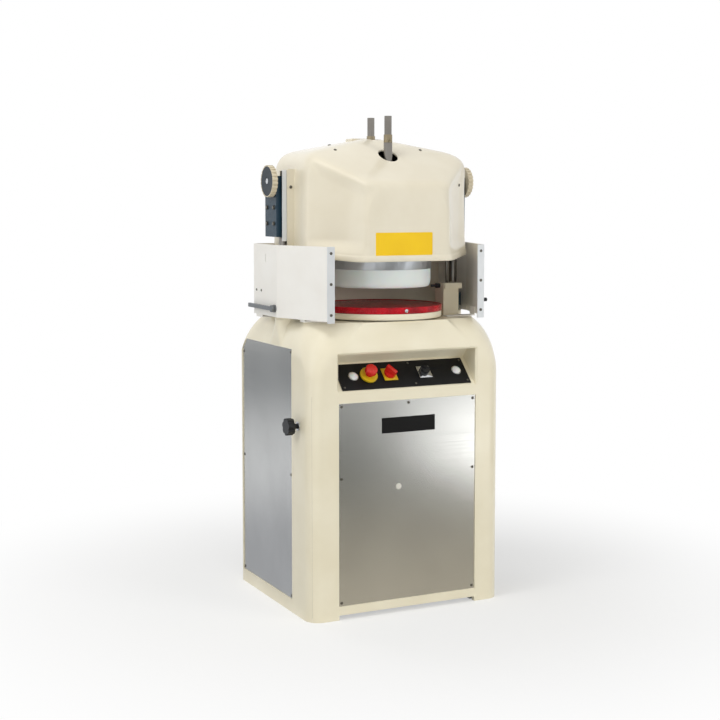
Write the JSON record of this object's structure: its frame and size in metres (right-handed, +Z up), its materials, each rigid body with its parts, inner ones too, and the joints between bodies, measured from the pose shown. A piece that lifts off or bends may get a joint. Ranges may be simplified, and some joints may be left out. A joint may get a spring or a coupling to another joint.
{
  "type": "divider rounder",
  "caption": "Floor-standing bakery divider rounder: cream cabinet with slanted controls, orbiting moulding plate, and a pressing head on columns with plungers and dividing knife.",
  "frame": {"origin": "on the floor, midway between the four floor fixing holes and on the machine's middle plane", "axes": "+Z up, -Y to the front where the controls are, +X to the machine's right seen from the front"},
  "size_m": [0.733, 0.57, 1.54],
  "materials": {
    "cream_enamel": "gloss enamel",
    "hood_moulding": "gloss gel coat",
    "guard_enamel": "satin enamel",
    "rear_enamel": "satin enamel",
    "stainless": "brushed",
    "steel_screws": "plain",
    "black_plate": "satin black",
    "black_plastic": "moulded",
    "bright_trim": "bright",
    "yellow_plastic": "moulded",
    "white_plastic": "gloss",
    "red_plastic": "gloss",
    "blue_paint": "satin",
    "plain_steel": "machined",
    "bearing_steel": "ground",
    "belt_rubber": "matte",
    "motor_paint": "satin",
    "slide_plastic": "turned",
    "red_plate": "turned",
    "hard_chrome": "ground",
    "holder_aluminium": "turned",
    "strip_aluminium": "anodised",
    "latch_steel": "plated",
    "ring_plastic": "turned",
    "collar_brass": "turned",
    "wheel_grey": "satin"
  },
  "bodies": {
    "base": {"cabinet_shell": "cream_enamel", "pedestal": "cream_enamel", "guards": "guard_enamel", "rear_guard": "rear_enamel", "front_panel": "stainless", "left_panel": "stainless", "right_panel": "stainless", "rear_panel": "stainless", "panel_screws": "steel_screws", "nameplate": "black_plate", "control_plate": "black_plate", "cable_gland": "black_plastic", "position_sensor": "black_plastic", "switch_bodies": "black_plastic", "control_bezels": "bright_trim", "yellow_backplates": "yellow_plastic", "column_bushes": "blue_paint", "base_frame": "plain_steel", "motor_stand": "plain_steel", "bearing_housing": "plain_steel", "spindle_bearings": "bearing_steel", "drive_belt": "belt_rubber", "drive_motor": "motor_paint", "pump_motor": "motor_paint", "oil_tank": "motor_paint", "hydraulic_cylinder": "motor_paint", "slide_ring": "slide_plastic", "guard_strips": "strip_aluminium", "latch_pivot": "latch_steel"},
    "head": {"hood": "hood_moulding", "head_bolts": "steel_screws", "column_blocks": "blue_paint", "head_beam": "plain_steel", "ring_holder": "holder_aluminium", "pressing_ring": "ring_plastic", "columns": "hard_chrome", "crosshead": "plain_steel", "piston_rod": "hard_chrome", "guide_pin": "hard_chrome"},
    "plunger": {"plunger_plate": "bearing_steel", "plungers": "ring_plastic", "press_rods": "hard_chrome", "rod_collars": "collar_brass"},
    "knife": {"dividing_knife": "bearing_steel"},
    "left_wheel": {"left_wheel": "wheel_grey"},
    "right_wheel": {"right_wheel": "wheel_grey"},
    "spindle": {"eccentric_spindle": "bearing_steel", "driven_pulley": "plain_steel"},
    "table": {"table_carrier": "cream_enamel"},
    "plate": {"moulding_plate": "red_plate"},
    "idler": {"idler_crank": "bearing_steel"},
    "rotor": {"motor_pulley": "plain_steel"},
    "latch": {"latch_lever": "latch_steel"},
    "left_start": {"left_start_button": "white_plastic"},
    "right_start": {"right_start_button": "white_plastic"},
    "stop": {"stop_button": "red_plastic"},
    "switch": {"main_switch": "red_plastic"},
    "timer": {"timer_knob": "black_plastic"},
    "side_knob": {"side_knob": "black_plastic"},
    "guard_knob": {"guard_knob": "black_plastic"}
  },
  "joints": [
    {"name": "press_stroke", "type": "slide", "parent": "base", "child": "head", "axis": [0, 0, -1], "range_m": [0, 0.056]},
    {"name": "plunger_stroke", "type": "slide", "parent": "head", "child": "plunger", "axis": [0, 0, -1], "range_m": [0, 0.025]},
    {"name": "knife_stroke", "type": "slide", "parent": "head", "child": "knife", "axis": [0, 0, -1], "range_m": [0, 0.025]},
    {"name": "left_wheel_turn", "type": "hinge", "parent": "head", "child": "left_wheel", "pos_m": [-0.34, -0.012, 1.336], "axis": [1, 0, 0], "range_deg": [-180, 180]},
    {"name": "right_wheel_turn", "type": "hinge", "parent": "head", "child": "right_wheel", "pos_m": [0.34, -0.012, 1.336], "axis": [1, 0, 0], "range_deg": [-180, 180]},
    {"name": "rounding_spin", "type": "hinge", "parent": "base", "child": "spindle", "pos_m": [-0.014, -0.08, 0.85], "axis": [0, 0, 1], "continuous": true},
    {"name": "table_orbit", "type": "hinge", "parent": "spindle", "child": "table", "pos_m": [0, -0.08, 0.915], "axis": [0, 0, 1], "continuous": true},
    {"name": "idler_spin", "type": "hinge", "parent": "base", "child": "idler", "pos_m": [-0.014, 0.04, 0.87], "axis": [0, 0, 1], "continuous": true},
    {"name": "motor_spin", "type": "hinge", "parent": "base", "child": "rotor", "pos_m": [0, 0.17, 0.75], "axis": [0, 0, 1], "continuous": true},
    {"name": "plate_removal", "type": "slide", "parent": "table", "child": "plate", "axis": [0, -1, 0], "range_m": [0, 0.43]},
    {"name": "latch_swing", "type": "hinge", "parent": "base", "child": "latch", "pos_m": [-0.35, -0.036, 0.94], "axis": [1, 0, 0], "range_deg": [0, 40]},
    {"name": "left_start_press", "type": "slide", "parent": "base", "child": "left_start", "axis": [0, 0.7071, -0.7071], "range_m": [0, 0.004], "stiffness_N_per_m": 400},
    {"name": "right_start_press", "type": "slide", "parent": "base", "child": "right_start", "axis": [0, 0.7071, -0.7071], "range_m": [0, 0.004], "stiffness_N_per_m": 400},
    {"name": "stop_press", "type": "slide", "parent": "base", "child": "stop", "axis": [0, 0.7071, -0.7071], "range_m": [0, 0.005]},
    {"name": "main_switch_turn", "type": "hinge", "parent": "base", "child": "switch", "pos_m": [-0.049, -0.246, 0.74], "axis": [0, -0.7071, 0.7071], "range_deg": [0, 90]},
    {"name": "timer_turn", "type": "hinge", "parent": "base", "child": "timer", "pos_m": [0.073, -0.246, 0.74], "axis": [0, -0.7071, 0.7071], "range_deg": [-135, 135]},
    {"name": "side_knob_turn", "type": "hinge", "parent": "base", "child": "side_knob", "pos_m": [-0.334, -0.194, 0.592], "axis": [-1, 0, 0], "range_deg": [0, 270]},
    {"name": "guard_knob_turn", "type": "hinge", "parent": "base", "child": "guard_knob", "pos_m": [0.272, -0.257, 0.963], "axis": [1, 0, 0], "range_deg": [0, 270]}
  ],
  "couplings": [
    {"joint": "table_orbit", "follows": "rounding_spin", "ratio": -1},
    {"joint": "idler_spin", "follows": "rounding_spin", "ratio": 1},
    {"joint": "motor_spin", "follows": "rounding_spin", "ratio": 2.5}
  ]
}
